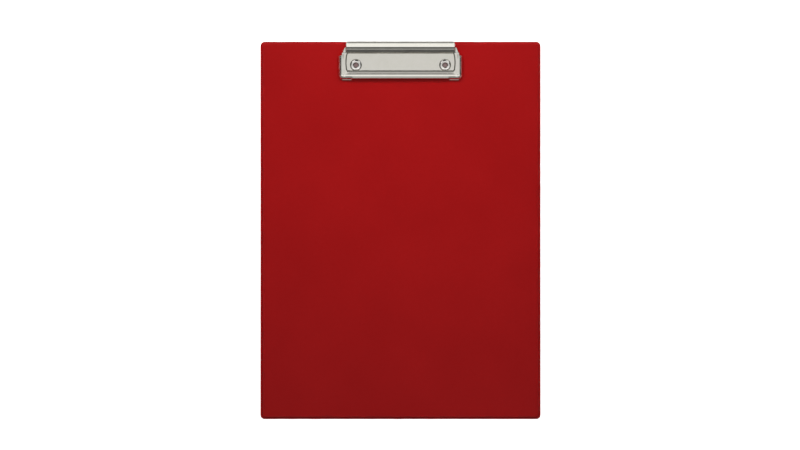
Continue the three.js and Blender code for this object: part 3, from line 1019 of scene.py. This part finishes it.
def crease(x, down):
    """The short curved fold where the rail's top turns into the jaw's."""
    beyond = down - WINDOW_DOWN
    ring = math.hypot(x - CREASE_X, beyond - CREASE_OUT) - CREASE_RADIUS
    outwards = smooth(x, CREASE_X - CREASE_FADE, CREASE_X + CREASE_FADE)
    downwards = smooth(beyond, CREASE_OUT - CREASE_FADE, CREASE_OUT + CREASE_FADE)
    return CREASE_DEPTH * (outwards * downwards) * math.exp(-((ring / CREASE_WIDTH) ** 2))


def creased(point):
    """A point of the outer wall, pressed down where the corner's crease runs on into it."""
    x, y, z = point
    share = smooth(z - BOARD_TOP, *[RAIL_TOP - depth for depth in CREASE_FALL])
    return x, y, z - share * crease(x, EDGE_Y - y)


def channel_skin(bm):
    inner = inner_edge()
    tops = []
    outers = []
    for place, edge, start, jaw, foot, corner in rail_stations():
        row = [place(out * start, RAIL_TOP - (RAIL_TOP - up) * start) for out, up in inner]
        fold_end = FOLD_RADIUS * start
        for k in range(TOP_COLUMNS + 1):
            out = fold_end + (edge - fold_end) * k / TOP_COLUMNS
            x, y, _ = place(out, RAIL_TOP)
            row.append(place(out, RAIL_TOP - pressed(x, EDGE_Y - y, out, jaw)))
        tops.append(row)
        if EDGE_Y - row[-1][1] > OUTER_WALL_DOWN - 0.01:
            outers.append([creased(place(out, up)) for out, up in outer_wall(jaw, foot, corner)])
    grid(bm, tops)
    grid(bm, outers)


def tab(bm, hand):
    """A hinge tab that hangs from the wall's back, with the rod's hole."""
    lean = math.atan2(BEND[1] - FOOT[1], FOOT[0] - BEND[0]) + math.pi / 2
    head = [on_circle((0, 0), TAB_RADIUS, a) for a in np.linspace(math.pi / 2, math.pi * 1.5, 17)]
    sides = [(TAB_REACH * k / 4, TAB_RADIUS) for k in range(4, 0, -1)]
    end = [(TAB_REACH, TAB_RADIUS * (k / 4 - 1)) for k in range(0, 8)]
    outline = sides + head + [(a, -b) for a, b in reversed(sides)][:-1] + end

    def place(x):
        def turned_place(a, b):
            along = a * math.cos(lean) - b * math.sin(lean)
            height = a * math.sin(lean) + b * math.cos(lean)
            return at(x, HINGE_DOWN - along, HINGE_UP + height)
        return turned_place

    skin = bmesh.new()
    ring_plate(skin, outline, ROD_HOLE, place(hand * TAB_HALF))
    thicken(skin, Vector((hand, 0, 0)))
    add(bm, skin)


def lever():
    skin = bmesh.new()
    wall_skin(skin)
    channel_skin(skin)
    weld(skin)
    half = list(skin.verts) + list(skin.edges) + list(skin.faces)
    mirrored = bmesh.ops.duplicate(skin, geom=half)["geom"]
    copies = [item for item in mirrored if isinstance(item, bmesh.types.BMVert)]
    bmesh.ops.scale(skin, vec=(-1, 1, 1), verts=copies)
    weld(skin)
    thicken(skin, UP)
    for hand in (-1, 1):
        tab(skin, hand)
    piece("lever_pressing", skin, "lever_frame", NICKEL_SHEET, "lever")


# ---- Rod, springs and rivets ----


def rod():
    end = ROD_HIGH[0]
    seat = end - ROD_HEAD
    head = (ROD_HIGH[2] - ROD_LOW[2]) / 2
    half = rounded([
        (0, end, 0),
        (head - 0.1, end, 0.4),
        (head, seat, 0.1),
        (ROD_RADIUS, seat, 0.05),
        (ROD_RADIUS, 0, 0),
    ])
    profile = half[:-1] + [(radius, -x) for radius, x in reversed(half[:-1])]
    bm = bmesh.new()
    turned(bm, profile, (EDGE_Y - HINGE_DOWN, BOARD_TOP + HINGE_UP), 32, axis="X")
    piece("rod_with_peened_heads", bm, "hinge_rod", ROD_STEEL, "board")


def spring(hand):
    """A torsion spring: a coil round the rod, with one leg on the plate and the other along the wall."""
    name = "spring_left" if hand < 0 else "spring_right"
    low, high = box_mm(name)
    middle_x = (low[0] + high[0]) / 2
    start_x = -TURNS * COIL_PITCH / 2

    def place(turn, along):
        angle = math.radians(PLATE_LEG_ANGLE - turn * 360)
        y = EDGE_Y - HINGE_DOWN + COIL_RADIUS * math.cos(angle) + along * math.sin(angle)
        z = BOARD_TOP + HINGE_UP + COIL_RADIUS * math.sin(angle) - along * math.cos(angle)
        return Vector((middle_x + hand * (start_x + turn * COIL_PITCH), y, z))

    steps = round(TURNS * 28)
    route = [place(0, -PLATE_LEG * (1 - k / 6)) for k in range(6)]
    route += [place(TURNS * k / steps, 0) for k in range(steps + 1)]
    route += [place(TURNS, WALL_LEG * k / 6) for k in range(1, 7)]
    bm = bmesh.new()
    tube(bm, route, WIRE / 2, 12)
    obj = piece(name + "_wire", bm, name, SPRING_STEEL)
    obj.modifiers.clear()
    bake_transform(obj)


def tube(bm, route, radius, sides):
    """A round wire along the route, with its two ends cut and deburred."""
    tangents = [(b - a).normalized() for a, b in zip(route, route[1:] + route[-1:])]
    tangents[-1] = tangents[-2]
    side = tangents[0].cross(Vector((1, 0, 0))).normalized()
    rings = []
    for index, (point, tangent) in enumerate(zip(route, tangents)):
        if 0 < index < len(route) - 1:
            tangent = (tangents[index - 1] + tangent).normalized()
        side = (side - tangent * side.dot(tangent)).normalized()
        other = tangent.cross(side)
        cuts = [(0, 1)]
        if index == 0:
            cuts = [(0, 0.0), (0, 0.75), (WIRE_BEVEL, 1)]
        if index == len(route) - 1:
            cuts = [(-WIRE_BEVEL, 1), (0, 0.75), (0, 0.0)]
        for shift, share in cuts:
            ring = []
            for k in range(sides):
                angle = math.tau * k / sides
                spoke = side * math.cos(angle) + other * math.sin(angle)
                ring.append(point + tangent * shift + spoke * radius * share)
            rings.append(ring)
    rings_skin(bm, rings)
    weld(bm)
    bmesh.ops.recalc_face_normals(bm, faces=bm.faces)


def arc(centre_radius, centre_height, reach, rise, steps=9):
    """A quarter ellipse as (radius, height) points."""
    angles = [math.pi / 2 * k / steps for k in range(steps + 1)]
    return [(centre_radius + reach * math.cos(a), centre_height + rise * math.sin(a)) for a in angles]


def rivet(hand):
    """A tubular rivet: a domed collar round an open bore, and a tail rolled out over its washer."""
    name = "rivet_left" if hand < 0 else "rivet_right"
    low, high = box_mm(name)
    crown = high[2]
    collar = (high[0] - low[0]) / 2
    seat = BOARD_TOP + PLATE_TOP + SEAT_GAP
    tail_top = low[2] + TAIL_THICKNESS
    flare_top = tail_top + TAIL_FALL
    profile = [(TUBE_RADIUS, tail_top), (TUBE_RADIUS, seat)]
    profile += [(collar - COLLAR_BEVEL, seat), (collar, seat + COLLAR_BEVEL)]
    profile += arc(RIDGE_RADIUS, crown - COLLAR_FALL, collar - RIDGE_RADIUS, COLLAR_FALL)
    inner_side = arc(RIDGE_RADIUS, crown - BORE_FALL, BORE_RADIUS - RIDGE_RADIUS, BORE_FALL)
    profile += inner_side[-2::-1]
    profile += arc(TAIL_FLARE, flare_top, BORE_RADIUS - TAIL_FLARE, low[2] - flare_top)
    bevel = rounded([(TAIL_FLARE, low[2], 0), (TAIL_RADIUS, low[2], TAIL_ROUND), (TAIL_RADIUS, tail_top, 0)])
    profile += bevel[1:]
    bm = bmesh.new()
    turned(bm, profile, rivet_place(hand), 64)
    piece(name + "_turned", bm, name, NICKEL_RIVET, "board")


def washer(hand):
    name = "rivet_washer_left" if hand < 0 else "rivet_washer_right"
    low, high = box_mm(name)
    outer = (high[0] - low[0]) / 2
    corners = [(HOLE_RADIUS, low[2]), (outer, low[2]), (outer, high[2]), (HOLE_RADIUS, high[2])]
    profile = rounded([(*corner, WASHER_ROUND) for corner in corners], steps=3)
    bm = bmesh.new()
    turned(bm, profile, rivet_place(hand), 56)
    piece(name + "_blanked", bm, name, NICKEL_RIVET, "board")


# ---- Assembly ----

bpy.context.scene.view_settings.view_transform = "Standard"
RED_FILM = red_film()
NICKEL_SHEET = nickel_sheet()
NICKEL_RIVET = nickel_rivet()
ROD_STEEL = drawn_wire("drawn_rod_steel", (0.48, 0.46, 0.43), (0.56, 0.54, 0.51), (0.22, 0.36))
SPRING_STEEL = drawn_wire("oiled_spring_steel", (0.20, 0.20, 0.195), (0.30, 0.30, 0.29), (0.28, 0.42))

camera()
floor()
room()
softbox("overhead", 90, 89, 1.5, 1.0, 8.2)
for hand, name in ((1, "right"), (-1, "left")):
    softbox("key_" + name, 90 - hand * 25, 42, 0.85, 0.26, 0.36, KEY_SPREAD)
    softbox("panel_" + name, 90 - hand * 34, 52, 0.85, 0.3, 0.42, mirrored=True)

film("front_film", "front_cover", 1, HOLE_RADIUS)
film("back_film", "back_cover", -1, RECESS_RADIUS)
for slot in frame["nodes"]["board_core"].material_slots:
    slot.material = greyboard()
base_plate()
lever()
rod()
for hand in (-1, 1):
    spring(hand)
    rivet(hand)
    washer(hand)
